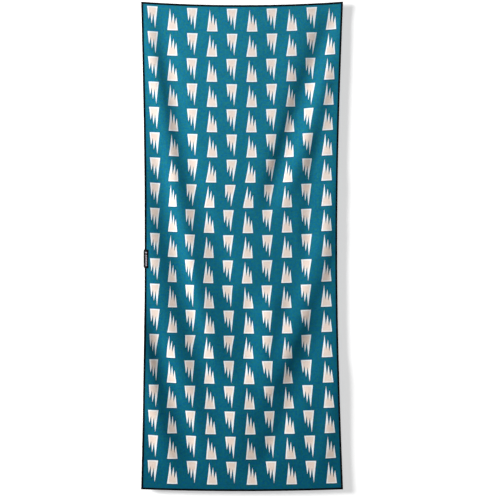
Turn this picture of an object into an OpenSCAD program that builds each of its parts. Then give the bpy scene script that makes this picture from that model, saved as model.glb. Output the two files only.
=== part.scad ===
// Quick-dry towel, hung by its two top corners, printed face towards -Y.
// The origin is the middle of the top hem, on the cloth's mid-plane. +Z is up.

/* [Cloth] */
// Width across the two hanging corners
towel_w = 762; // [400:1:1000]
// Length from the top corners to the bottom corners
towel_l = 1842; // [800:1:2300]
// Thickness of the knitted cloth
cloth_t = 1.2; // [0.6:0.1:3]

/* [Hang] */
// How far the top hem sags between the corners
top_sag = 13; // [0:1:30]
// How far the bottom hem bows down in its middle
bottom_bow = 7; // [0:1:20]
// How far the left side draws in at mid-length
left_draw = 13; // [0:1:30]
// How far the right side draws in at mid-length
right_draw = 22; // [0:1:30]
// Soft flutes across the width
flute_count = 5; // [1:1:7]
// Depth of a flute from crest to trough
flute_depth = 12; // [0:1:18]
// Width of the flat margin beside each long side
flat_margin = 60; // [40:1:90]

/* [Edge stitching] */
// Reach of the overlock stitches in from the cloth's edge
overlock_w = 6; // [4:0.5:9]
// Thickness of one layer of looper thread
looper_t = 0.4; // [0.2:0.1:0.8]
// Width of the line that the needle thread makes
needle_w = 0.8; // [0.4:0.1:1.5]
// Height of the needle thread above the cloth
needle_t = 0.4; // [0.2:0.1:0.8]
// Clearance between neighbouring thread runs
thread_gap = 0.1; // [0.05:0.05:0.3]

/* [Label] */
// Length of the label along the left side
label_l = 70; // [30:1:100]
// Reach of the label's two faces in from the edge
label_reach = 14; // [12:0.5:25]
// How far the label's fold stands out past the edge
label_out = 4.5; // [1:0.5:10]
// Cut-back of the label's two outer corners
label_taper = 3; // [0:0.5:6]
// Thickness of the label tape
label_t = 0.3; // [0.2:0.05:0.8]
// Clearance between the label and the edge stitching
label_gap = 0.2; // [0.1:0.05:0.5]
// Distance from the towel's fold line down to the label
label_drop = 15; // [5:1:100]
// Distance of the label's seam from its inner edge
seam_inset = 2; // [1:0.5:3]
// Width of the label's seam threads
seam_w = 0.6; // [0.3:0.1:1]
// Distance from the label's ends to the ends of its seam
seam_end = 2; // [1:0.5:5]

/* [Fold] */
// Gap between the two halves at the fold line
fold_gap = 0.3; // [0.1:0.1:1]

/* [Hidden] */
RUNS = ["top_edge", "bottom_edge",
        "left_edge_upper", "left_edge_lower", "right_edge_upper", "right_edge_lower"];

cloth_color = [0.07, 0.42, 0.51];
thread_color = [0.03, 0.04, 0.05];
label_color = [0.05, 0.05, 0.06];

// Straight pieces that each curved edge is drawn with
edge_steps = 12;
// Straight pieces across one flute
flute_steps = 8;
// Extrusions that are cut to shape run this far past the towel
past = 20;

// Height of the line that the towel folds along, half-way between its corners
fold_z = top_sag - towel_l / 2;
// Half-thickness of the cloth and its two looper layers
stack_t = cloth_t / 2 + looper_t;
// Where the needle thread's line begins and ends, in from the edge
needle_from = overlock_w + thread_gap;
needle_to = needle_from + needle_w;
label_top = fold_z - label_drop;

function drawn_in(side) = side < 0 ? left_draw : right_draw;

// X of a long side at height z; side is -1 at the left and 1 at the right
function side_x(side, z) =
    side * (towel_w / 2 - drawn_in(side) * sin(180 * (top_sag - z) / towel_l));

// Height of the top and the bottom hem at x; end is 1 at the top and -1 at the bottom
function hem_z(end, x) =
    end > 0
        ? top_sag * pow(2 * x / towel_w, 2)
        : top_sag - towel_l - bottom_bow * (1 - pow(2 * x / towel_w, 2));

// Corner of the outline drawn a distance in from every edge
function corner_z(side, end, in) = hem_z(end, side * (towel_w / 2 - in)) - end * in;
function corner(side, end, in) =
    [side_x(side, corner_z(side, end, in)) - side * in, corner_z(side, end, in)];

// Points down one long side, a distance in from it
function side_line(side, in, z_from, z_to) =
    [for (i = [0 : edge_steps]) let (z = z_from + (z_to - z_from) * i / edge_steps)
        [side_x(side, z) - side * in, z]];

// Points along a hem, a distance in from it
function hem_line(end, in, x_from, x_to) =
    [for (i = [0 : edge_steps]) let (x = x_from + (x_to - x_from) * i / edge_steps)
        [x, hem_z(end, x) - end * in]];

function reversed(points) = [for (i = [len(points) - 1 : -1 : 0]) points[i]];

function cut_z(end) = fold_z + end * fold_gap / 2;

// Outline of the half that holds the top (end 1) or the bottom (end -1) hem
function half_outline(end, in) =
    let (left = corner(-1, end, in), right = corner(1, end, in),
         hem = hem_line(end, in, left[0], right[0]))
    concat(
        side_line(-1, in, cut_z(end), left[1]),
        [for (i = [1 : edge_steps - 1]) hem[i]],
        side_line(1, in, right[1], cut_z(end)));

// Outline of a band along a hem: its edges lie in_a and in_b from the hem, its ends trim from the sides
function hem_band(end, in_a, in_b, trim) =
    let (left = corner(-1, end, in_a)[0] + trim, right = corner(1, end, in_a)[0] - trim)
    concat(hem_line(end, in_a, left, right), reversed(hem_line(end, in_b, left, right)));

// Outline of a band along one half of a side: it stops trim short of the hem
function side_band(side, end, in_a, in_b, trim) =
    let (z_a = corner_z(side, end, in_a) - end * (trim - in_a),
         z_b = corner_z(side, end, in_b) - end * (trim - in_b))
    concat(side_line(side, in_a, z_a, cut_z(end)), reversed(side_line(side, in_b, z_b, cut_z(end))));

// Y of the cloth's mid-surface at x: flat margins, and flutes that fade in between them
function flute_y(x) =
    let (half_w = towel_w / 2 - flat_margin, u = (x + half_w) / (2 * half_w))
    (u <= 0 || u >= 1) ? 0 : flute_depth / 2 * sin(180 * u) * sin(360 * flute_count * u);

function flute_line(y) =
    let (half_w = towel_w / 2 - flat_margin, steps = flute_count * flute_steps)
    concat(
        [[-towel_w / 2 - past, y]],
        [for (i = [0 : steps]) let (x = half_w * (2 * i / steps - 1)) [x, flute_y(x) + y]],
        [[towel_w / 2 + past, y]]);

// A fluted layer that lies between two distances from the cloth's mid-surface
module fluted_layer(y_from, y_to) {
    translate([0, 0, top_sag - towel_l - bottom_bow - past])
        linear_extrude(height = towel_l + bottom_bow + 2 * past)
            polygon(concat(flute_line(y_from), reversed(flute_line(y_to))));
}

// An XZ outline given a thickness from y_from to y_to
module plate(outline, y_from, y_to) {
    translate([0, y_to, 0])
        rotate([90, 0, 0])
            linear_extrude(height = y_to - y_from)
                polygon(outline);
}

// The part of a fluted layer that lies inside an outline
module fluted_piece(outline, y_from, y_to) {
    intersection() {
        fluted_layer(y_from, y_to);
        plate(outline, -flute_depth - past, flute_depth + past);
    }
}

module cloth_half(end) {
    color(cloth_color)
        fluted_piece(half_outline(end, looper_t), -cloth_t / 2, cloth_t / 2);
}

function is_hem(run) = run == "top_edge" || run == "bottom_edge";
function run_end(run) =
    run == "top_edge" || run == "left_edge_upper" || run == "right_edge_upper" ? 1 : -1;
function run_side(run) = run == "left_edge_upper" || run == "left_edge_lower" ? -1 : 1;

// The needle thread: a line of stitches on the front, just inside the loopers
module needle_thread(run) {
    y_front = -cloth_t / 2;
    color(thread_color)
        if (is_hem(run))
            fluted_piece(hem_band(run_end(run), needle_from, needle_to, needle_from),
                y_front - needle_t, y_front);
        else
            plate(side_band(run_side(run), run_end(run), needle_from, needle_to, needle_to + thread_gap),
                y_front - needle_t, y_front);
}

// A looper thread: a band on one face that turns over half of the raw edge; face is -1 front, 1 back
module looper_thread(run, face) {
    y_from = face < 0 ? -stack_t : 0;
    y_to = face < 0 ? 0 : stack_t;
    color(thread_color)
        difference() {
            if (is_hem(run))
                fluted_piece(hem_band(run_end(run), 0, overlock_w, 0), y_from, y_to);
            else
                plate(side_band(run_side(run), run_end(run), 0, overlock_w, overlock_w + thread_gap),
                    y_from, y_to);
            fluted_piece(half_outline(run_end(run), looper_t),
                face < 0 ? -cloth_t / 2 : -past, face < 0 ? past : cloth_t / 2);
        }
}

// The left edge where it stands furthest out behind the label
label_edge_x = min(side_x(-1, label_top), side_x(-1, label_top - label_l));
label_outer_y = stack_t + label_gap + label_t;

function label_outline(x_from, x_to, taper) =
    [[x_to, label_top], [x_from + taper, label_top], [x_from, label_top - taper],
     [x_from, label_top - label_l + taper], [x_from + taper, label_top - label_l],
     [x_to, label_top - label_l]];

// A woven tape folded round the left edge: two faces and the flat fold between them
module label() {
    wall_x = label_edge_x - label_gap - label_t;
    color(label_color)
        difference() {
            union() {
                plate(label_outline(wall_x, label_edge_x + label_reach, 0),
                    -label_outer_y, label_outer_y);
                plate(label_outline(label_edge_x - label_out, wall_x + label_t, label_taper),
                    -label_t, label_t);
            }
            plate(label_room(), -label_outer_y + label_t, label_outer_y - label_t);
        }
}

function label_room() =
    [[label_edge_x - label_gap, label_top + past], [label_edge_x + label_reach + past, label_top + past],
     [label_edge_x + label_reach + past, label_top - label_l - past],
     [label_edge_x - label_gap, label_top - label_l - past]];

// One thread of the label's lockstitched seam; face is -1 front, 1 back
module seam_thread(face) {
    x_to = label_edge_x + label_reach - seam_inset;
    z_to = label_top - seam_end;
    z_from = label_top - label_l + seam_end;
    color(thread_color)
        plate([[x_to - seam_w, z_from], [x_to, z_from], [x_to, z_to], [x_to - seam_w, z_to]],
            face < 0 ? -label_outer_y - looper_t : label_outer_y,
            face < 0 ? -label_outer_y : label_outer_y + looper_t);
}

cloth_half(1);  // cloth_upper_half
cloth_half(-1);  // cloth_lower_half
label();
seam_thread(-1);  // label_needle_thread
seam_thread(1);  // label_bobbin_thread
for (run = RUNS) {
    needle_thread(run);
    looper_thread(run, -1);
    looper_thread(run, 1);
}
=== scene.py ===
"""A printed quick-dry towel, hung by its two top corners: cloth, overlocked edges and woven label."""

import math
from typing import NamedTuple

import bpy
import numpy as np
from bpy.props import FloatProperty, FloatVectorProperty, IntProperty, PointerProperty
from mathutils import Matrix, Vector


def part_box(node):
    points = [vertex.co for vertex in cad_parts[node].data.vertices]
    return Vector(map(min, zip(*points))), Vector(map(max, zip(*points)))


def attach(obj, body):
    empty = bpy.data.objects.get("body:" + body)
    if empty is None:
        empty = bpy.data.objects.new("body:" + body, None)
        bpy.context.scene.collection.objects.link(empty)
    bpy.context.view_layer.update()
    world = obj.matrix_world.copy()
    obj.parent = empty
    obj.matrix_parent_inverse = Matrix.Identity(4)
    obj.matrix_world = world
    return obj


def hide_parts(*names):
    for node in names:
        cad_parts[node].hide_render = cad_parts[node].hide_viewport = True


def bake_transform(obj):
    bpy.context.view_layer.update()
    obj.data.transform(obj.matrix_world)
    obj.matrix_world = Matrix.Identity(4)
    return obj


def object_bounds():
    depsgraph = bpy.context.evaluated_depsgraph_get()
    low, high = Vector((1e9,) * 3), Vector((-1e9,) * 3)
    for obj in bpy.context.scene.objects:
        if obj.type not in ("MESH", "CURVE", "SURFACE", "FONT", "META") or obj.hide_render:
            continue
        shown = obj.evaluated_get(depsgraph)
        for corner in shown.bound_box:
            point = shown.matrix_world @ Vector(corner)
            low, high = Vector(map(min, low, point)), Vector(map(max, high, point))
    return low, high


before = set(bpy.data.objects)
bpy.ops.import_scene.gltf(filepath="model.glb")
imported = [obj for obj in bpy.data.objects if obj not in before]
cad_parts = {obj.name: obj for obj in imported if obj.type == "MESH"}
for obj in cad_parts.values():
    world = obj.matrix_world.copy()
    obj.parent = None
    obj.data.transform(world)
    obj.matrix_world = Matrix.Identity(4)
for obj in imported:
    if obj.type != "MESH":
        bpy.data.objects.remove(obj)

bl_info = {
    "name": "Quick-dry towel",
    "version": (1, 0, 0),
    "blender": (4, 5, 0),
    "location": "3D View > Sidebar > Towel",
    "description": "Builds a hung, printed quick-dry towel with overlocked edges and a woven label",
    "category": "Add Mesh",
}

CAD_BOX = [list(corner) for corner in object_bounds()]
MM = 0.001
TURN = 2 * math.pi
UPPER, LOWER = "upper_half", "lower_half"

# The hung outline, from the frame
TOP_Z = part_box("top_edge_front_looper_thread")[1][2]
BOTTOM_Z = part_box("bottom_edge_front_looper_thread")[0][2]
LABEL_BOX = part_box("label")


class Fold(NamedTuple):
    """A soft fold: the (x, z) of its start, middle and end, how far it stands out, and its breadth."""

    name: str
    start: tuple
    middle: tuple
    end: tuple
    height: float
    breadth: float


# Millimetres. Ridges stand out to the front, valleys have a negative height.
FOLDS = (
    Fold("top swell", (15, 100), (-5, -330), (-20, -860), 5, 110),
    Fold("left shoulder ridge", (-365, 40), (-240, -735), (-90, -1400), 8, 22),
    Fold("left shoulder valley", (-315, 20), (-180, -680), (-45, -1100), -8, 27),
    Fold("left waist valley", (-335, -520), (-271, -870), (-80, -1600), -14, 25),
    Fold("left waist ridge", (-385, -640), (-310, -1095), (-120, -1700), 7, 26),
    Fold("left knee valley", (-340, -1190), (-278, -1420), (-150, -1830), -12, 23),
    Fold("left foot ridge", (-380, -1100), (-342, -1480), (-225, -1860), 12, 22),
    Fold("right chest ridge", (270, 60), (125, -430), (20, -860), 5, 32),
    Fold("right shoulder valley", (375, 40), (196, -440), (75, -860), -13, 22),
    Fold("right shoulder ridge", (345, -180), (250, -500), (130, -830), 8, 20),
    Fold("right chest valley", (315, -430), (268, -640), (245, -1000), -6, 18),
    Fold("right arm ridge", (350, -600), (322, -830), (290, -1120), 5, 19),
    Fold("right waist ridge", (335, -780), (262, -1050), (10, -1620), 12, 24),
    Fold("right knee valley", (315, -1140), (248, -1330), (40, -1830), -11, 28),
    Fold("right foot ridge", (350, -1300), (325, -1610), (265, -1850), 6, 26),
    Fold("centre valley", (-100, -800), (-55, -1060), (-35, -1500), -8, 34),
    Fold("centre hollow", (22, -1040), (14, -1235), (2, -1480), -12, 26),
    Fold("centre ridge", (128, -1040), (100, -1260), (72, -1500), 9, 24),
    Fold("centre hem ridge", (5, -1330), (-15, -1570), (-25, -1800), 7, 38),
)

# How the hems hold the cloth flat: size of the flat corners, and of the calmer strip above the bottom hem
FLAT_CORNER = 0.08
CALM_STRIP = 0.16
FOLDS_LEFT_AT_HEM = 0.35

# Where the cloth is gathered and where it is pulled smooth: x, breadth, then share of the length and spread
GATHER_X, GATHER_BREADTH, GATHER_DOWN, GATHER_SPREAD = -0.29, 0.035, 0.62, 0.16
EASE_X, EASE_BREADTH = 0.28, 0.02

# Outline of a printed shape, (across, depth) as shares of its width and height: three teeth, two notches
TOOTH_OUTLINE = (
    (0.0, 0.0), (0.13, 0.60), (0.30, 0.27), (0.395, 0.79), (0.585, 0.33), (0.715, 1.0), (1.0, 0.0),
)
# How far the shape's two sides lean in, for each unit of depth
LEFT_LEAN, RIGHT_LEAN = 0.217, 0.285

# Pitch of the knitted ribs and courses, and of the label's weft and warp
RIB_PITCH, COURSE_PITCH = 0.0011, 0.0008
WEFT_PITCH, WARP_PITCH = 0.00045, 0.0004


# ---------------------------------------------------------------- settings


class TowelCloth(bpy.types.PropertyGroup):
    """The cloth as it is cut, and how it hangs."""

    width: FloatProperty(
        name="Width", description="Width of the cut cloth", default=0.762, unit="LENGTH")
    length: FloatProperty(
        name="Length", description="Length of the cut cloth", default=1.842, unit="LENGTH")
    thickness: FloatProperty(
        name="Thickness", description="Thickness of the knitted cloth", default=0.0012, unit="LENGTH")
    cell: FloatProperty(
        name="Mesh cell", description="Size of a cell of the cloth's mesh", default=0.006, unit="LENGTH")
    left_draw: FloatProperty(
        name="Left draw", description="How far the left side draws in at mid-length",
        default=0.0134, unit="LENGTH")
    right_draw: FloatProperty(
        name="Right draw", description="How far the right side draws in at mid-length",
        default=0.022, unit="LENGTH")
    top_sag: FloatProperty(
        name="Top sag", description="How far the top hem sags between the corners",
        default=0.013, unit="LENGTH")
    bottom_bow: FloatProperty(
        name="Bottom bow", description="How far the bottom hem bows down in its middle",
        default=0.007, unit="LENGTH")
    fold_strength: FloatProperty(
        name="Fold strength", description="Multiplies the height of every soft fold", default=1.08)
    room_front: FloatProperty(
        name="Room in front", description="The furthest that a fold may stand out",
        default=0.0115, unit="LENGTH")
    room_behind: FloatProperty(
        name="Room behind", description="The furthest that a fold may sink back",
        default=0.0175, unit="LENGTH")
    take_up: FloatProperty(
        name="Take-up", description="How much more cloth a fold's slope takes up than a smooth sheet would",
        default=1.5)
    left_gather: FloatProperty(
        name="Left gather", description="Extra share of cloth that the folds near the left edge take up",
        default=0.13)
    right_ease: FloatProperty(
        name="Right ease", description="Share by which the cloth is pulled smooth near the right edge",
        default=0.11)
    lean_back: FloatProperty(
        name="Lean back", description="How far the cloth hangs behind the line of its top corners",
        default=0.002, unit="LENGTH")
    crease_reach: FloatProperty(
        name="Crease reach", description="Length of cloth above and below the fold line that bends",
        default=0.028, unit="LENGTH")


class TowelPrint(bpy.types.PropertyGroup):
    """The printed pattern: columns of three-toothed shapes, every other column turned round."""

    ground_top: FloatVectorProperty(
        name="Ground, top", description="Dye of the ground near the top hem",
        default=(0.0084, 0.159, 0.244), subtype="COLOR", size=3)
    # Painted shade: this darker bottom colour stands in for the light falling off down the hung towel.
    ground_bottom_shaded: FloatVectorProperty(
        name="Ground, bottom", description="Ground near the bottom hem, darkened by painted shade",
        default=(0.0020, 0.088, 0.148), subtype="COLOR", size=3)
    motif: FloatVectorProperty(
        name="Shapes", description="Colour of the printed shapes",
        default=(0.76, 0.855, 0.91), subtype="COLOR", size=3)
    blush: FloatVectorProperty(
        name="Shapes, middle", description="Colour of the shapes away from their outline",
        default=(0.715, 0.61, 0.545), subtype="COLOR", size=3)
    columns: IntProperty(name="Columns", description="Number of columns of shapes", default=10)
    rows: IntProperty(name="Rows", description="Number of shapes in a column", default=19)
    column_pitch: FloatProperty(
        name="Column pitch", description="Distance between columns", default=0.0754, unit="LENGTH")
    row_pitch: FloatProperty(
        name="Row pitch", description="Distance between rows", default=0.0954, unit="LENGTH")
    first_column: FloatProperty(
        name="First column", description="From the left edge to the first shape",
        default=0.0215, unit="LENGTH")
    first_row: FloatProperty(
        name="First row", description="From the top edge to the first shape", default=0.0135, unit="LENGTH")
    turned_drop: FloatProperty(
        name="Turned drop", description="How much lower the turned columns start",
        default=0.0035, unit="LENGTH")
    shape_width: FloatProperty(
        name="Shape width", description="Width of a shape's flat edge", default=0.040, unit="LENGTH")
    shape_height: FloatProperty(
        name="Shape height", description="Height of a shape to its longest tooth",
        default=0.084, unit="LENGTH")


class TowelEdge(bpy.types.PropertyGroup):
    """The overlock stitching along the four edges."""

    stitch: FloatProperty(
        name="Stitch length", description="Length of one overlock stitch", default=0.0013, unit="LENGTH")
    reach: FloatProperty(
        name="Reach", description="How far the loopers reach in from the edge",
        default=0.0066, unit="LENGTH")
    looper_radius: FloatProperty(
        name="Looper radius", description="Radius of the bulky looper threads",
        default=0.0005, unit="LENGTH")
    needle_radius: FloatProperty(
        name="Needle radius", description="Radius of the needle thread", default=0.00026, unit="LENGTH")
    colour: FloatVectorProperty(
        name="Thread", description="Colour of the edge threads",
        default=(0.0016, 0.0028, 0.0045), subtype="COLOR", size=3)


class TowelLabel(bpy.types.PropertyGroup):
    """The woven label folded round the left edge."""

    tape: FloatProperty(
        name="Tape", description="Thickness of the woven tape", default=0.0003, unit="LENGTH")
    taper: FloatProperty(
        name="Taper", description="Cut-back of the two outer corners", default=0.003, unit="LENGTH")
    seam_inset: FloatProperty(
        name="Seam inset", description="From the tape's inner edge and its ends to its seam",
        default=0.002, unit="LENGTH")
    seam_stitch: FloatProperty(
        name="Seam stitch", description="Length of a stitch of the seam", default=0.0025, unit="LENGTH")
    seam_radius: FloatProperty(
        name="Seam thread", description="Radius of the seam's threads", default=0.0002, unit="LENGTH")
    colour: FloatVectorProperty(
        name="Tape colour", description="Colour of the tape's ground",
        default=(0.0016, 0.0018, 0.002), subtype="COLOR", size=3)
    mark: FloatVectorProperty(
        name="Mark colour", description="Colour of the woven marks",
        default=(0.40, 0.36, 0.40), subtype="COLOR", size=3)


class TowelStage(bpy.types.PropertyGroup):
    """Wall, floor, lights and camera."""

    wall_gap: FloatProperty(
        name="Wall gap", description="From the cloth's mid-plane to the wall behind",
        default=0.028, unit="LENGTH")
    floor_drop: FloatProperty(
        name="Floor drop", description="From the bottom hem down to the floor", default=0.45, unit="LENGTH")
    key_power: FloatProperty(name="Key light", description="Power of the key light in watts", default=522.0)
    fill_power: FloatProperty(
        name="Fill light", description="Power of the fill from the lower right in watts", default=18.0)
    rear_power: FloatProperty(
        name="Rear light", description="Power of the light behind in watts", default=45.0)


class TowelSettings(bpy.types.PropertyGroup):
    """All settings of the towel."""

    cloth: PointerProperty(type=TowelCloth)
    pattern: PointerProperty(type=TowelPrint)
    edge: PointerProperty(type=TowelEdge)
    label: PointerProperty(type=TowelLabel)
    stage: PointerProperty(type=TowelStage)


# ---------------------------------------------------------------- shape of the hung cloth


def smooth(t):
    """A smooth step from 0 to 1 as t goes from 0 to 1, and level outside that."""
    t = np.clip(t, 0, 1)
    return t * t * (3 - 2 * t)


def hump(x, middle, breadth):
    """A soft hump of height 1 round the middle."""
    return np.exp(-0.5 * ((x - middle) / breadth) ** 2)


def fold_height(fold, x, z):
    """Height of one soft fold at the points (x, z), in metres."""
    (x0, z0), (x1, z1), (x2, z2) = (np.array(p) * MM for p in (fold.start, fold.middle, fold.end))
    path = (x0 * (z - z1) * (z - z2) / ((z0 - z1) * (z0 - z2))
            + x1 * (z - z0) * (z - z2) / ((z1 - z0) * (z1 - z2))
            + x2 * (z - z0) * (z - z1) / ((z2 - z0) * (z2 - z1)))
    lean = (x2 - x0) / (z2 - z0)
    away = (x - path) / math.sqrt(1 + lean * lean)
    along = (z0 - z) / (z0 - z2)
    rise, fall = 0.22, 0.3
    window = smooth(along / rise) * smooth((1 - along) / fall)
    return fold.height * MM * window * hump(away, 0, fold.breadth * MM)


def cloth_height(cloth, x, z):
    """How far the cloth stands out to the front at the points (x, z)."""
    height = sum(fold_height(fold, x, z) for fold in FOLDS)
    corner = np.hypot(cloth.width / 2 - np.abs(x), TOP_Z - z)
    above_hem = smooth((z - BOTTOM_Z) / CALM_STRIP)
    held = smooth(corner / FLAT_CORNER) * (FOLDS_LEFT_AT_HEM + (1 - FOLDS_LEFT_AT_HEM) * above_hem)
    out = cloth.fold_strength * height - cloth.lean_back
    room = np.where(out > 0, cloth.room_front, cloth.room_behind)
    return held * room * np.tanh(out / room)


def hung_grid(cloth, across, down):
    """Mid-surface points of the hung cloth, on a grid of across by down cells, with their flat (u, v)."""
    u = np.linspace(0, 1, across + 1)
    v = np.linspace(0, 1, down + 1)
    fine = np.linspace(0, 1, 8 * across + 1)
    bow = (2 * fine - 1) ** 2
    top = cloth.top_sag * bow
    bottom = cloth.top_sag - cloth.length - cloth.bottom_bow * (1 - bow)
    points = np.zeros((down + 1, across + 1, 3))
    half = cloth.width / 2
    for j, t in enumerate(v):
        z = top + (bottom - top) * t
        waist = math.sin(math.pi * t)
        left = -half + cloth.left_draw * waist
        x = left + fine * (2 * half - (cloth.left_draw + cloth.right_draw) * waist)
        out = cloth_height(cloth, x, z)
        step = np.hypot(np.diff(x), cloth.take_up * np.diff(out))
        gather = cloth.left_gather * math.exp(-((t - GATHER_DOWN) / GATHER_SPREAD) ** 2)
        step *= 1 + gather * hump(x[1:], GATHER_X, GATHER_BREADTH)
        step *= 1 - cloth.right_ease * waist * hump(x[1:], EASE_X, EASE_BREADTH)
        run = np.concatenate([[0], np.cumsum(step)])
        run /= run[-1]
        points[j, :, 0] = np.interp(u, run, x)
        points[j, :, 1] = -np.interp(u, run, out)
        points[j, :, 2] = np.interp(u, run, z)
    return points, u * cloth.width, v * cloth.length


def unit(vectors):
    """The same directions, each 1 long."""
    return vectors / np.linalg.norm(vectors, axis=-1, keepdims=True)


class Hung:
    """The hung cloth's mid-surface: points, front normals and the two directions along the cloth."""

    def __init__(self, cloth):
        self.across = round(cloth.width / cloth.cell)
        self.down = round(cloth.length / cloth.cell)
        self.points, self.u, self.v = hung_grid(cloth, self.across, self.down)
        self.rightward = unit(np.gradient(self.points, axis=1))
        self.downward = unit(np.gradient(self.points, axis=0))
        self.front = unit(np.cross(self.downward, self.rightward))

    def at(self, u, v):
        """Point, rightward, downward and front direction at flat coordinates u, v in metres."""
        i, j = np.interp(u, self.u, np.arange(len(self.u))), np.interp(v, self.v, np.arange(len(self.v)))
        i0 = np.minimum(i.astype(int), self.across - 1)
        j0 = np.minimum(j.astype(int), self.down - 1)
        fi, fj = (i - i0)[..., None], (j - j0)[..., None]

        def mix(a):
            return ((a[j0, i0] * (1 - fi) + a[j0, i0 + 1] * fi) * (1 - fj)
                    + (a[j0 + 1, i0] * (1 - fi) + a[j0 + 1, i0 + 1] * fi) * fj)

        return mix(self.points), unit(mix(self.rightward)), unit(mix(self.downward)), unit(mix(self.front))


def settings():
    return bpy.context.scene.towel


def hung():
    return Hung(settings().cloth)


# ---------------------------------------------------------------- mesh and node helpers


def add_piece(name, mesh):
    """Puts a mesh in the scene as a piece at the origin."""
    piece = bpy.data.objects.new(name, mesh)
    bpy.context.scene.collection.objects.link(piece)
    return piece


def set_uv(mesh, flat):
    """Stores one flat coordinate pair for each vertex as a UV map in metres."""
    layer = mesh.uv_layers.new(name="cloth_metres")
    corners = np.zeros(len(mesh.loops), dtype=np.int32)
    mesh.loops.foreach_get("vertex_index", corners)
    layer.data.foreach_set("uv", np.ascontiguousarray(flat[corners], dtype=np.float32).ravel())


def set_attribute(mesh, name, kind, values):
    """Stores one number or one direction for each vertex."""
    attribute = mesh.attributes.new(name, kind, "POINT")
    key = "vector" if kind == "FLOAT_VECTOR" else "value"
    attribute.data.foreach_set(key, np.ascontiguousarray(values, dtype=np.float32).ravel())


class Nodes:
    """Writes a node tree as sums and products of sockets and numbers."""

    def __init__(self, tree):
        self.tree = tree

    def put(self, kind, inputs=(), out=0, **options):
        """Adds a node, sets its options, then its inputs by name or number. Returns one output."""
        node = self.tree.nodes.new(kind)
        for key, value in options.items():
            setattr(node, key, value)
        for key, value in dict(inputs).items():
            socket = node.inputs[key]
            if isinstance(value, bpy.types.NodeSocket):
                self.tree.links.new(value, socket)
            else:
                socket.default_value = value
        return node.outputs[out]

    def maths(self, operation, a, b=0.0, c=0.0, clamp=False):
        kind = "ShaderNodeMath"
        return self.put(kind, {0: a, 1: b, 2: c}, operation=operation, use_clamp=clamp)

    def add(self, a, b):
        return self.maths("ADD", a, b)

    def take(self, a, b):
        return self.maths("SUBTRACT", a, b)

    def times(self, a, b):
        return self.maths("MULTIPLY", a, b)

    def over(self, a, b):
        return self.maths("DIVIDE", a, b)

    def scaled(self, vector, factor):
        """A direction made longer or shorter."""
        node = self.tree.nodes.new("ShaderNodeVectorMath")
        node.operation = "SCALE"
        self.tree.links.new(vector, node.inputs[0])
        if isinstance(factor, bpy.types.NodeSocket):
            self.tree.links.new(factor, node.inputs["Scale"])
        else:
            node.inputs["Scale"].default_value = factor
        return node.outputs[0]

    def summed(self, a, b):
        return self.put("ShaderNodeVectorMath", {0: a, 1: b}, operation="ADD")

    def blended(self, factor, a, b, mode="MIX"):
        """A mix of two colours."""
        node = self.tree.nodes.new("ShaderNodeMix")
        node.data_type = "RGBA"
        node.blend_type = mode
        for socket, value in ((node.inputs[0], factor), (node.inputs[6], a), (node.inputs[7], b)):
            if isinstance(value, bpy.types.NodeSocket):
                self.tree.links.new(value, socket)
            else:
                socket.default_value = value
        return node.outputs[2]

    def ramp(self, value, low, high):
        """A smooth step from 0 at low to 1 at high."""
        return self.put("ShaderNodeMapRange", {"Value": value, "From Min": low, "From Max": high},
                        interpolation_type="SMOOTHSTEP")

    def grey(self, tone):
        """One number as a colour with three equal parts."""
        return self.put("ShaderNodeCombineXYZ", {0: tone, 1: tone, 2: tone})

    def noise(self, vector, scale, detail=2.0, roughness=0.5):
        return self.put("ShaderNodeTexNoise", {
            "Vector": vector, "Scale": scale, "Detail": detail, "Roughness": roughness})


def rgba(colour):
    return (*colour, 1.0)


def new_material(name):
    """A material, the writer of its nodes and its shader."""
    material = bpy.data.materials.new(name)
    material.use_nodes = True
    nodes = Nodes(material.node_tree)
    shader = material.node_tree.nodes["Principled BSDF"]
    return material, nodes, shader


def join(material, socket, shader, name):
    material.node_tree.links.new(socket, shader.inputs[name])


# ---------------------------------------------------------------- materials


def between(nodes, value, low, high):
    """1 where the value lies between low and high, 0 elsewhere."""
    return nodes.times(nodes.maths("GREATER_THAN", value, low), nodes.maths("LESS_THAN", value, high))


def tooth_outline(nodes, position):
    """Depth of a shape below its flat edge, 0 to 1, at a position across it, 0 to 1."""
    node = nodes.tree.nodes.new("ShaderNodeFloatCurve")
    curve = node.mapping.curves[0]
    for x, y in TOOTH_OUTLINE[1:-1]:
        curve.points.new(x, y)
    for point, (x, y) in zip(curve.points, TOOTH_OUTLINE):
        point.location = (x, y)
        point.handle_type = "VECTOR"
    node.mapping.update()
    nodes.tree.links.new(position, node.inputs["Value"])
    return node.outputs[0]


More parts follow.
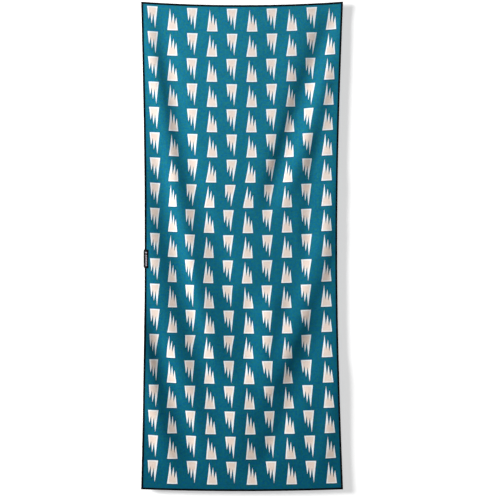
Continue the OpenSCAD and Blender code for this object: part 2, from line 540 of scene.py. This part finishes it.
def printed_shapes(nodes, u, v, style):
    """How much of a shape shows at u, v in metres, how far inside it that is, and how close beside it."""
    across = nodes.over(nodes.take(u, style.first_column), style.column_pitch)
    down = nodes.over(nodes.take(v, style.first_row), style.row_pitch)
    column = nodes.maths("FLOOR", across)
    turned = nodes.maths("PINGPONG", column, 1.0)
    down = nodes.take(down, nodes.times(turned, style.turned_drop / style.row_pitch))
    x = nodes.times(nodes.maths("FRACT", across), style.column_pitch / style.shape_width)
    y = nodes.times(nodes.maths("FRACT", down), style.row_pitch / style.shape_height)

    def turn(value):
        other = nodes.take(1.0, value)
        return nodes.add(nodes.times(value, nodes.take(1.0, turned)), nodes.times(other, turned))

    x, y = turn(x), turn(y)
    body = nodes.take(tooth_outline(nodes, x), y)
    tooth_crispness, edge_crispness = 70.0, 110.0
    below = nodes.maths("MULTIPLY", body, tooth_crispness, clamp=True)
    above = nodes.maths("MULTIPLY", y, edge_crispness, clamp=True)
    shape = nodes.times(nodes.times(below, above), between(nodes, x, 0.0, 1.0))
    inside_columns = between(nodes, across, 0, style.columns)
    inside_print = nodes.times(inside_columns, between(nodes, down, 0, style.rows))

    from_left = nodes.take(x, nodes.times(y, LEFT_LEAN))
    from_right = nodes.take(1.0, nodes.add(x, nodes.times(y, RIGHT_LEAN)))
    in_sides = nodes.ramp(nodes.maths("MINIMUM", from_left, from_right), 0.05, 0.17)
    in_top = nodes.ramp(y, 0.02, 0.075)
    in_teeth = nodes.ramp(y, 0.30, 0.62)
    inner = nodes.times(nodes.times(in_sides, in_top), nodes.take(1.0, in_teeth))

    beside = nodes.ramp(body, -0.16, -0.02)
    beyond = nodes.ramp(y, -0.05, -0.015)
    near_x = between(nodes, x, -0.05, 1.05)
    beside = nodes.times(nodes.times(beside, beyond), nodes.times(near_x, inside_print))
    return nodes.times(shape, inside_print), inner, beside


def cloth_material(cloth, style):
    """Printed knitted microfibre: dyed ground, pale shapes, fine ribs and uneven dye, with painted shade
    that darkens it towards the bottom hem and under the edge stitches.
    """
    material, nodes, shader = new_material("printed microfibre")
    flat = nodes.put("ShaderNodeUVMap", uv_map="cloth_metres")
    back = nodes.put("ShaderNodeAttribute", out="Fac", attribute_name="back")
    wander = nodes.noise(flat, 900.0, 2.0)
    wander_v = nodes.noise(nodes.summed(flat, (3.1, 7.7, 0.0)), 700.0, 2.0)
    parts = nodes.put("ShaderNodeSeparateXYZ", {0: flat}).node
    u, v = parts.outputs[0], parts.outputs[1]
    ink_u = nodes.add(u, nodes.times(nodes.take(wander, 0.5), 0.0012))
    ink_v = nodes.add(v, nodes.times(nodes.take(wander_v, 0.5), 0.0016))
    shape, inner, beside = printed_shapes(nodes, ink_u, ink_v, style)

    # Painted shade: the ground darkens from the top hem to the bottom hem.
    along = nodes.maths("DIVIDE", v, cloth.length, clamp=True)
    ground = nodes.blended(along, rgba(style.ground_top), rgba(style.ground_bottom_shaded))
    cloudy = nodes.noise(flat, 22.0, 4.0, 0.6)
    flecks = nodes.noise(flat, 260.0, 3.0, 0.65)
    fibres = nodes.noise(flat, 1500.0, 2.0, 0.7)
    patches = nodes.noise(nodes.summed(flat, (1.7, 4.2, 0.0)), 95.0, 3.0, 0.7)
    tone = nodes.add(0.04, nodes.add(nodes.times(cloudy, 0.3), nodes.times(flecks, 0.9)))
    tone = nodes.add(tone, nodes.add(nodes.times(patches, 0.6), nodes.times(fibres, 0.16)))
    tone = nodes.times(tone, nodes.take(1.0, nodes.times(beside, 0.5)))
    ground = nodes.blended(1.0, ground, nodes.grey(tone), "MULTIPLY")
    hue = nodes.maths("MULTIPLY", nodes.take(nodes.noise(flat, 120.0, 2.0), 0.38), 4.0, clamp=True)
    greener = nodes.blended(1.0, ground, (1.5, 1.09, 0.80, 1), "MULTIPLY")
    bluer = nodes.blended(1.0, ground, (0.6, 0.90, 1.18, 1), "MULTIPLY")
    ground = nodes.blended(hue, greener, bluer)
    warm = nodes.noise(nodes.summed(flat, (5.0, 2.0, 0.0)), 60.0, 3.0, 0.6)
    warm = nodes.maths("MULTIPLY", inner, nodes.add(0.55, nodes.times(warm, 0.9)), clamp=True)
    pale = nodes.blended(warm, rgba(style.motif), rgba(style.blush))
    pale_tone = nodes.add(0.80, nodes.times(flecks, 0.40))
    pale = nodes.blended(1.0, pale, nodes.grey(pale_tone), "MULTIPLY")
    # Painted shade: the shapes turn warmer and a little darker towards the bottom hem.
    pale_shaded_bottom = nodes.blended(1.0, pale, (1.0, 0.96, 0.92, 1), "MULTIPLY")
    pale = nodes.blended(along, pale, pale_shaded_bottom)
    printed = nodes.blended(shape, ground, pale)
    in_u = nodes.maths("MINIMUM", u, nodes.take(cloth.width, u))
    in_v = nodes.maths("MINIMUM", v, nodes.take(cloth.length, v))
    edge = settings().edge
    # The cloth under the overlock takes the thread's colour: partly the threads covering it, partly painted
    # shade in the gaps between the stitches.
    stitch_cover_and_shade = nodes.maths("LESS_THAN", nodes.maths("MINIMUM", in_u, in_v), edge.reach)
    printed = nodes.blended(stitch_cover_and_shade, printed, rgba(edge.colour))
    faded = nodes.blended(0.18, printed, (0.45, 0.52, 0.55, 1))
    colour = nodes.blended(back, printed, faded)
    join(material, colour, shader, "Base Color")

    ribs = nodes.maths("SINE", nodes.times(u, TURN / RIB_PITCH))
    courses = nodes.maths("SINE", nodes.times(v, TURN / COURSE_PITCH))
    knit = nodes.add(nodes.times(ribs, 0.5), nodes.times(nodes.times(courses, ribs), 0.3))
    knit = nodes.add(knit, nodes.times(nodes.noise(flat, 700.0, 3.0, 0.7), 1.6))
    knit = nodes.add(knit, nodes.times(flecks, 1.8))
    bump = nodes.put("ShaderNodeBump", {"Strength": 0.55, "Distance": 0.0004, "Height": knit})
    join(material, bump, shader, "Normal")
    shader.inputs["Roughness"].default_value = 0.86
    shader.inputs["Specular IOR Level"].default_value = 0.04
    return material


def thread_material(name, colour, sheen):
    """Spun polyester thread, with the twist of its plies and a little fuzz."""
    material, nodes, shader = new_material(name)
    place = nodes.put("ShaderNodeTexCoord", out="Object")
    fuzz = nodes.noise(place, 2600.0, 2.0, 0.6)
    tone = nodes.grey(nodes.add(0.55, nodes.times(fuzz, 0.9)))
    join(material, nodes.blended(1.0, rgba(colour), tone, "MULTIPLY"), shader, "Base Color")
    bands = {"Vector": place, "Scale": 900.0, "Distortion": 4.0, "Detail": 1.0}
    twist = nodes.put("ShaderNodeTexWave", bands, out=1, bands_direction="DIAGONAL")
    relief = nodes.add(twist, fuzz)
    bump = nodes.put("ShaderNodeBump", {"Strength": 0.5, "Distance": 0.0001, "Height": relief})
    join(material, bump, shader, "Normal")
    shader.inputs["Roughness"].default_value = 0.7
    shader.inputs["Specular IOR Level"].default_value = 0.06
    shader.inputs["Sheen Weight"].default_value = sheen
    return material


def label_material(look, length):
    """Woven satin tape with a plain pale mark and a row of slanted bars."""
    material, nodes, shader = new_material("woven label tape")
    flat = nodes.put("ShaderNodeUVMap", uv_map="cloth_metres")
    parts = nodes.put("ShaderNodeSeparateXYZ", {0: flat}).node
    across, along = parts.outputs[0], parts.outputs[1]

    bar_slant, bar_pitch, bar_share = 0.55, 0.0062, 0.68
    slanted = nodes.over(nodes.add(along, nodes.times(across, bar_slant)), bar_pitch)
    bars = nodes.maths("LESS_THAN", nodes.maths("FRACT", slanted), bar_share)
    band_in, band_out, band_top, band_foot = 0.0034, 0.0086, 0.019, 0.008
    band = nodes.times(between(nodes, across, band_in, band_out),
                       between(nodes, along, band_top, length - band_foot))
    bars = nodes.times(bars, band)
    lozenge_across, lozenge_along, lozenge_reach = 0.0056, 0.0115, 0.0036
    lozenge = nodes.add(nodes.maths("ABSOLUTE", nodes.take(across, lozenge_across)),
                        nodes.maths("ABSOLUTE", nodes.take(along, lozenge_along)))
    mark = nodes.maths("MAXIMUM", bars, nodes.maths("LESS_THAN", lozenge, lozenge_reach))
    weft = nodes.maths("SINE", nodes.times(along, TURN / WEFT_PITCH))
    warp = nodes.maths("SINE", nodes.times(across, TURN / WARP_PITCH))
    weave = nodes.times(weft, warp)
    base = nodes.blended(mark, rgba(look.colour), rgba(look.mark))
    tone = nodes.grey(nodes.add(0.88, nodes.times(weave, 0.12)))
    join(material, nodes.blended(1.0, base, tone, "MULTIPLY"), shader, "Base Color")
    height = nodes.add(weave, nodes.times(mark, 1.5))
    bump = nodes.put("ShaderNodeBump", {"Strength": 0.4, "Distance": 0.00008, "Height": height})
    join(material, bump, shader, "Normal")
    shader.inputs["Roughness"].default_value = 0.6
    shader.inputs["Specular IOR Level"].default_value = 0.1
    return material


# ---------------------------------------------------------------- cloth


def cloth_mesh(cloth, shape):
    """A closed sheet: a front and a back layer joined by a rim. The back layer is marked."""
    count = (shape.down + 1) * (shape.across + 1)
    lift = shape.front * cloth.thickness / 2
    layers = [(shape.points + lift).reshape(-1, 3), (shape.points - lift).reshape(-1, 3)]
    verts = np.concatenate(layers)
    index = np.arange(count).reshape(shape.down + 1, shape.across + 1)
    a, b, c, d = index[:-1, :-1], index[1:, :-1], index[1:, 1:], index[:-1, 1:]
    front = np.stack([a, b, c, d], axis=-1).reshape(-1, 4)
    back = front[:, ::-1] + count
    loop = np.concatenate([index[:-1, 0], index[-1, :-1], index[:0:-1, -1], index[0, :0:-1]])
    ahead = np.roll(loop, -1)
    rim = np.stack([ahead, loop, loop + count, ahead + count], axis=-1)
    faces = np.concatenate([front, back, rim])
    mesh = bpy.data.meshes.new("cloth")
    mesh.from_pydata(verts.tolist(), [], faces.tolist())
    smooth_faces = np.ones(len(faces), dtype=bool)
    smooth_faces[-len(rim):] = False
    mesh.polygons.foreach_set("use_smooth", smooth_faces)
    u, v = np.meshgrid(shape.u, shape.v)
    flat = np.stack([u, v], axis=-1).reshape(-1, 2)
    set_uv(mesh, np.concatenate([flat, flat]))
    set_attribute(mesh, "back", "FLOAT", np.repeat([0.0, 1.0], count))
    mesh.validate()
    return mesh


# ---------------------------------------------------------------- threads


def thread_path(points, inward, facing):
    """A chain of edges that a thread follows, with the inward and the front direction at each point."""
    mesh = bpy.data.meshes.new("path")
    edges = [(i, i + 1) for i in range(len(points) - 1)]
    mesh.from_pydata(points.tolist(), edges, [])
    set_attribute(mesh, "inward", "FLOAT_VECTOR", inward)
    set_attribute(mesh, "facing", "FLOAT_VECTOR", facing)
    return mesh


def new_tree(name, sizes):
    """A Geometry Nodes tree with a geometry, a material and one named input for each size."""
    tree = bpy.data.node_groups.new(name, "GeometryNodeTree")
    tree.interface.new_socket("Path", in_out="INPUT", socket_type="NodeSocketGeometry")
    tree.interface.new_socket("Material", in_out="INPUT", socket_type="NodeSocketMaterial")
    for size in sizes:
        tree.interface.new_socket(size, in_out="INPUT", socket_type="NodeSocketFloat")
    tree.interface.new_socket("Thread", in_out="OUTPUT", socket_type="NodeSocketGeometry")
    nodes = Nodes(tree)
    entry = tree.nodes.new("NodeGroupInput")
    return tree, nodes, {socket.name: socket for socket in entry.outputs if socket.name}


POINTS_PER_STITCH = 8
SIDES_OF_THREAD = 5


def stitched_curve(nodes, entry):
    """The path cut into stitches. Returns the curve and the phase of each of its points in radians."""
    curve = nodes.put("GeometryNodeMeshToCurve", {"Mesh": entry["Path"]})
    length = nodes.put("GeometryNodeCurveLength", {"Curve": curve})
    stitches = nodes.maths("ROUND", nodes.over(length, entry["Stitch Length"]))
    count = nodes.add(nodes.times(stitches, POINTS_PER_STITCH), 1)
    curve = nodes.put("GeometryNodeResampleCurve", {"Curve": curve, "Count": count})
    index = nodes.put("GeometryNodeInputIndex")
    turns = nodes.add(nodes.over(index, POINTS_PER_STITCH), entry["Phase"])
    return curve, nodes.times(turns, TURN)


def direction(nodes, name):
    return nodes.put("GeometryNodeInputNamedAttribute", {"Name": name}, data_type="FLOAT_VECTOR")


def finish_thread(nodes, entry, curve, across, along, lift):
    """Moves the curve off its path, gives it a round section and hands it out."""
    offset = nodes.summed(nodes.scaled(direction(nodes, "inward"), across),
                          nodes.scaled(direction(nodes, "facing"), lift))
    offset = nodes.summed(offset, nodes.scaled(nodes.put("GeometryNodeInputTangent"), along))
    curve = nodes.put("GeometryNodeSetPosition", {"Geometry": curve, "Offset": offset})
    section = nodes.put("GeometryNodeCurvePrimitiveCircle",
                        {"Resolution": SIDES_OF_THREAD, "Radius": entry["Thread Radius"]})
    tube = nodes.put("GeometryNodeCurveToMesh",
                     {"Curve": curve, "Profile Curve": section, "Fill Caps": True})
    tube = nodes.put("GeometryNodeSetShadeSmooth", {"Geometry": tube})
    tube = nodes.put("GeometryNodeRealizeInstances", {"Geometry": tube})
    tube = nodes.put("GeometryNodeSetMaterial", {"Geometry": tube, "Material": entry["Material"]})
    exit_node = nodes.tree.nodes.new("NodeGroupOutput")
    nodes.tree.links.new(tube, exit_node.inputs[0])


def looper_tree():
    """A looper thread: it swings between the raw edge and the needle line, on one face of the cloth."""
    sizes = ("Stitch Length", "Phase", "Reach", "Lean", "Thread Radius", "Half Thickness", "Face")
    tree, nodes, entry = new_tree("Looper thread", sizes)
    curve, phase = stitched_curve(nodes, entry)
    swing = nodes.take(0.5, nodes.times(nodes.maths("COSINE", phase), 0.5))
    reach, radius = entry["Reach"], entry["Thread Radius"]
    across = nodes.take(nodes.times(swing, nodes.add(reach, radius)), radius)
    along = nodes.times(nodes.times(nodes.maths("SINE", phase), entry["Lean"]), entry["Stitch Length"])
    over_edge = nodes.put("ShaderNodeMapRange", {"Value": swing, "From Max": 0.16},
                          interpolation_type="SMOOTHSTEP")
    lift = nodes.times(nodes.times(nodes.add(entry["Half Thickness"], radius), over_edge), entry["Face"])
    finish_thread(nodes, entry, curve, across, along, lift)
    return tree


def needle_tree():
    """A straight row of stitches that dips into the cloth between them."""
    sizes = ("Stitch Length", "Phase", "Inset", "Thread Radius", "Half Thickness", "Face")
    tree, nodes, entry = new_tree("Needle thread", sizes)
    curve, phase = stitched_curve(nodes, entry)
    dip = nodes.maths("POWER", nodes.maths("ABSOLUTE", nodes.maths("COSINE", nodes.times(phase, 0.5))), 8.0)
    height = nodes.add(entry["Half Thickness"], nodes.times(entry["Thread Radius"], 0.8))
    sunk = nodes.times(dip, nodes.times(entry["Thread Radius"], 2.6))
    lift = nodes.times(nodes.take(height, sunk), entry["Face"])
    finish_thread(nodes, entry, curve, entry["Inset"], 0.0, lift)
    return tree


def sewn(name, path, tree, material, values):
    """Runs a thread tree on a path and returns the thread as a plain piece."""
    maker = add_piece(name + "_maker", path)
    modifier = maker.modifiers.new("thread", "NODES")
    modifier.node_group = tree
    for item in tree.interface.items_tree:
        if item.in_out == "INPUT" and item.name in values:
            modifier[item.identifier] = values[item.name]
        if item.in_out == "INPUT" and item.name == "Material":
            modifier[item.identifier] = material
    graph = bpy.context.evaluated_depsgraph_get()
    mesh = bpy.data.meshes.new_from_object(maker.evaluated_get(graph))
    mesh.name = name
    maker.modifiers.remove(modifier)
    bpy.data.objects.remove(maker)
    bpy.data.meshes.remove(path)
    for spare in ("inward", "facing"):
        if spare in mesh.attributes:
            mesh.attributes.remove(mesh.attributes[spare])
    if not mesh.materials:
        mesh.materials.append(material)
    return add_piece(name, mesh)


def edge_line(shape, side):
    """Points of one edge of the hung cloth, with its inward and its front directions."""
    rows = {
        "top": (np.s_[0, :], shape.downward), "bottom": (np.s_[-1, :], -shape.downward),
        "left": (np.s_[:, 0], shape.rightward), "right": (np.s_[:, -1], -shape.rightward),
    }
    place, inward = rows[side]
    return shape.points[place], inward[place], shape.front[place]


def settle(piece, nodes, body=None):
    """Attaches a piece to its body's empty, or without a body bakes its place into its mesh, and hides the
    frame's nodes that it stands for."""
    if body:
        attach(piece, body)
    else:
        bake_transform(piece)
    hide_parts(*nodes)


# ---------------------------------------------------------------- label


def label_section(look, out, reach, stack):
    """Cross-section of the folded tape: (inward, front) pairs along its outside, then along its inside."""
    outer = stack + look.tape
    nose = 0.0006
    half = [(reach, outer), (reach * 0.5, outer), (0.001, outer), (-0.0008, outer * 0.75),
            (-out * 0.5, nose * 1.25), (-out + nose * 0.6, nose), (-out, 0.0)]
    outside = half + [(i, -n) for i, n in half[-2::-1]]
    inner = [(reach, stack), (reach * 0.5, stack), (0.001, stack), (-0.0002, stack * 0.7),
             (-0.0006, stack * 0.35), (-0.0008, stack * 0.15), (-0.0009, 0.0)]
    inside = inner + [(i, -n) for i, n in inner[-2::-1]]
    return outside, inside


def label_mesh(look, shape, top_v, length, out, reach, stack):
    """The tape, folded round the left edge and following the hung cloth."""
    rows = 36
    back_flat = 0.03
    t = np.linspace(0, 1, rows + 1)
    from_end = np.minimum(t, 1 - t) * length
    point, inward, _, front = shape.at(np.zeros(rows + 1), top_v + t * length)
    verts, flats = [], []
    for k in range(rows + 1):
        nose_out = out - look.taper * (1 - min(1.0, from_end[k] / look.taper))
        outside, inside = label_section(look, nose_out, reach, stack)
        for side in (outside, inside):
            for i, n in side:
                verts.append(point[k] + inward[k] * i + front[k] * n)
                flats.append((i if n >= 0 else back_flat - i, t[k] * length))
    ring = len(outside)
    faces = []
    for k in range(rows):
        a, b = 2 * ring * k, 2 * ring * (k + 1)
        for i in range(ring - 1):
            faces.append((a + i, a + i + 1, b + i + 1, b + i))
            faces.append((b + ring + i, b + ring + i + 1, a + ring + i + 1, a + ring + i))
        faces.append((b, b + ring, a + ring, a))
        faces.append((a + ring - 1, a + 2 * ring - 1, b + 2 * ring - 1, b + ring - 1))
    for a, turned in ((0, False), (2 * ring * rows, True)):
        for i in range(ring - 1):
            face = (a + i, a + ring + i, a + ring + i + 1, a + i + 1)
            faces.append(face[::-1] if turned else face)
    mesh = bpy.data.meshes.new("label")
    mesh.from_pydata([tuple(v) for v in verts], [], faces)
    mesh.polygons.foreach_set("use_smooth", [True] * len(faces))
    set_uv(mesh, np.array(flats))
    mesh.validate()
    return mesh


# ---------------------------------------------------------------- operators


class TOWEL_OT_cloth(bpy.types.Operator):
    """Makes the printed cloth as it hangs"""

    bl_idname = "towel.cloth"
    bl_label = "Cloth"

    def execute(self, context):
        cloth = settings().cloth
        mesh = cloth_mesh(cloth, hung())
        mesh.materials.append(cloth_material(cloth, settings().pattern))
        piece = add_piece("cloth", mesh)
        settle(piece, ["cloth_upper_half", "cloth_lower_half"])
        return {"FINISHED"}


class TOWEL_OT_edges(bpy.types.Operator):
    """Sews the overlock stitches along the four edges, three threads to an edge"""

    bl_idname = "towel.edges"
    bl_label = "Edge stitching"

    def execute(self, context):
        cloth, edge = settings().cloth, settings().edge
        shape = hung()
        material = thread_material("edge thread", edge.colour, 0.0)
        looper, needle = looper_tree(), needle_tree()
        common = {"Stitch Length": edge.stitch, "Half Thickness": cloth.thickness / 2}
        bulky = {**common, "Reach": edge.reach, "Lean": 0.12, "Thread Radius": edge.looper_radius}
        clearance = 0.0002
        fine = {**common, "Inset": edge.reach + clearance, "Thread Radius": edge.needle_radius, "Face": 1.0}
        threads = {
            "front_looper_thread": (looper, {**bulky, "Face": 1.0, "Phase": 0.0}),
            "back_looper_thread": (looper, {**bulky, "Face": -1.0, "Phase": 0.5}),
            "needle_thread": (needle, {**fine, "Phase": 0.0}),
        }
        for side, body in (("top", UPPER), ("bottom", LOWER), ("left", None), ("right", None)):
            for thread, (tree, values) in threads.items():
                parts = [f"{side}_edge"] if body else [f"{side}_edge_upper", f"{side}_edge_lower"]
                path = thread_path(*edge_line(shape, side))
                piece = sewn(f"overlock_{side}_{thread}", path, tree, material, values)
                settle(piece, [f"{part}_{thread}" for part in parts], body)
        return {"FINISHED"}


class TOWEL_OT_label(bpy.types.Operator):
    """Folds the woven label round the left edge and sews it down"""

    bl_idname = "towel.label"
    bl_label = "Label"

    def execute(self, context):
        cloth, edge, look = settings().cloth, settings().edge, settings().label
        shape = hung()
        low, high = Vector(LABEL_BOX[0]), Vector(LABEL_BOX[1])
        length = high.z - low.z
        top_v = TOP_Z - high.z
        edge_x = shape.at(np.array([0.0]), np.array([top_v + length / 2]))[0][0][0]
        out, reach = edge_x - low.x, high.x - edge_x
        stack = cloth.thickness / 2 + 2 * edge.looper_radius
        mesh = label_mesh(look, shape, top_v, length, out, reach, stack)
        mesh.materials.append(label_material(look, length))
        tape = add_piece("woven_label", mesh)
        settle(tape, ["label"])

        material = thread_material("label thread", edge.colour, 0.05)
        tree = needle_tree()
        seam_v = np.linspace(top_v + look.seam_inset, top_v + length - look.seam_inset, 30)
        seam_u = np.full_like(seam_v, reach - look.seam_inset)
        point, inward, _, front = shape.at(seam_u, seam_v)
        values = {"Stitch Length": look.seam_stitch, "Inset": 0.0, "Thread Radius": look.seam_radius,
                  "Half Thickness": stack + look.tape, "Phase": 0.0}
        for thread, face in (("needle_thread", 1.0), ("bobbin_thread", -1.0)):
            piece = sewn(f"seam_{thread}", thread_path(point, inward, front), tree, material,
                         {**values, "Face": face})
            settle(piece, [f"label_{thread}"])
        return {"FINISHED"}


class TOWEL_OT_stage(bpy.types.Operator):
    """Sets the pale wall and floor, the soft lights and the camera"""

    bl_idname = "towel.stage"
    bl_label = "Stage"

    def execute(self, context):
        stage = settings().stage
        low, high = Vector(CAD_BOX[0]), Vector(CAD_BOX[1])
        middle = (low + high) / 2
        floor_z = low.z - stage.floor_drop
        add_wall(stage.wall_gap, floor_z)
        add_floor(floor_z)
        add_world()
        add_light("key", (-4.3, -2.5, 0.3), (0, 0, middle.z), 2.2, stage.key_power)
        add_light("fill", (2.4, -2.2, middle.z - 0.5), (0.3, 0, middle.z - 0.4), 2.4, stage.fill_power)
        add_light("rear", (-0.9, 2.6, middle.z + 0.9), (0, 0, middle.z), 1.6, stage.rear_power)
        add_camera(middle, high.z - low.z)
        return {"FINISHED"}


def add_quad(name, corners, material):
    """A flat piece of the stage. The camera sees it, and it throws no light back at the towel."""
    mesh = bpy.data.meshes.new(name)
    mesh.from_pydata(corners, [], [(0, 1, 2, 3)])
    mesh.materials.append(material)
    quad = add_piece(name, mesh)
    quad.visible_diffuse = False
    quad.visible_glossy = False
    return quad


def add_wall(y, bottom):
    """A white wall just behind the towel. Seen from behind, it lets the view through."""
    material, nodes, shader = new_material("white wall")
    tree = material.node_tree
    shader.inputs["Base Color"].default_value = (0.76, 0.76, 0.76, 1)
    shader.inputs["Roughness"].default_value = 1.0
    shader.inputs["Specular IOR Level"].default_value = 0.0
    shader.inputs["Emission Color"].default_value = (1, 1, 1, 1)
    shader.inputs["Emission Strength"].default_value = 0.485
    clear = nodes.put("ShaderNodeBsdfTransparent")
    behind = nodes.put("ShaderNodeNewGeometry", out="Backfacing")
    mixed = nodes.put("ShaderNodeMixShader", {0: behind, 1: shader.outputs[0], 2: clear})
    tree.links.new(mixed, tree.nodes["Material Output"].inputs["Surface"])
    half, top = 3.2, 1.5
    corners = [(-half, y, bottom), (half, y, bottom), (half, y, top), (-half, y, top)]
    add_quad("wall", corners, material).visible_shadow = False


def add_floor(z):
    """A pale floor well below the towel."""
    material, nodes, shader = new_material("pale floor")
    place = nodes.put("ShaderNodeTexCoord", out="Object")
    tint = nodes.blended(nodes.noise(place, 3.0, 3.0), (0.80, 0.80, 0.80, 1), (0.84, 0.84, 0.84, 1))
    join(material, tint, shader, "Base Color")
    shader.inputs["Roughness"].default_value = 0.9
    shader.inputs["Emission Color"].default_value = (1, 1, 1, 1)
    shader.inputs["Emission Strength"].default_value = 0.25
    half = 6.0
    add_quad("floor", [(-half, -half, z), (half, -half, z), (half, half, z), (-half, half, z)], material)


def add_world():
    """A white backdrop that lights the scene far less than its own brightness."""
    ambient = 0.12
    world = bpy.data.worlds.new("backdrop")
    world.use_nodes = True
    nodes = Nodes(world.node_tree)
    seen = nodes.put("ShaderNodeLightPath", out="Is Camera Ray")
    background = world.node_tree.nodes["Background"]
    background.inputs["Color"].default_value = (1, 1, 1, 1)
    strength = nodes.add(nodes.times(seen, 1 - ambient), ambient)
    world.node_tree.links.new(strength, background.inputs["Strength"])
    bpy.context.scene.world = world


def add_light(name, place, target, size, power):
    """A round, soft light of a given width and power that looks at the target."""
    light = bpy.data.lights.new(name, "AREA")
    light.shape = "DISK"
    light.size = size
    light.energy = power
    lamp = bpy.data.objects.new(name, light)
    lamp.location = place
    lamp.rotation_euler = (Vector(target) - Vector(place)).to_track_quat("-Z", "Y").to_euler()
    lamp.visible_camera = False
    bpy.context.scene.collection.objects.link(lamp)


def add_camera(middle, height):
    """A long lens straight in front, a little right of and below the towel's middle."""
    data = bpy.data.cameras.new("camera")
    data.lens = 100
    data.sensor_width = 36
    margin, right, down = 1.0218, 0.0299, 0.0135
    distance = height * margin * data.lens / data.sensor_width
    camera = bpy.data.objects.new("camera", data)
    camera.location = (middle.x + right, -distance, middle.z - down)
    camera.rotation_euler = (math.pi / 2, 0, 0)
    bpy.context.scene.collection.objects.link(camera)
    bpy.context.scene.camera = camera


class TOWEL_PT_panel(bpy.types.Panel):
    """Buttons that make the towel's pieces"""

    bl_label = "Quick-dry towel"
    bl_idname = "TOWEL_PT_panel"
    bl_space_type = "VIEW_3D"
    bl_region_type = "UI"
    bl_category = "Towel"

    def draw(self, context):
        for operator in OPERATORS:
            self.layout.operator(operator.bl_idname)


OPERATORS = (TOWEL_OT_cloth, TOWEL_OT_edges, TOWEL_OT_label, TOWEL_OT_stage)
SETTINGS = (TowelCloth, TowelPrint, TowelEdge, TowelLabel, TowelStage, TowelSettings)
CLASSES = (*SETTINGS, *OPERATORS, TOWEL_PT_panel)


def register():
    for cls in CLASSES:
        bpy.utils.register_class(cls)
    bpy.types.Scene.towel = PointerProperty(type=TowelSettings)


def unregister():
    del bpy.types.Scene.towel
    for cls in reversed(CLASSES):
        bpy.utils.unregister_class(cls)


def main():
    register()
    bpy.context.scene.view_settings.view_transform = "Standard"
    for operator in OPERATORS:
        group, name = operator.bl_idname.split(".")
        getattr(getattr(bpy.ops, group), name)()


if __name__ == "__main__":
    main()
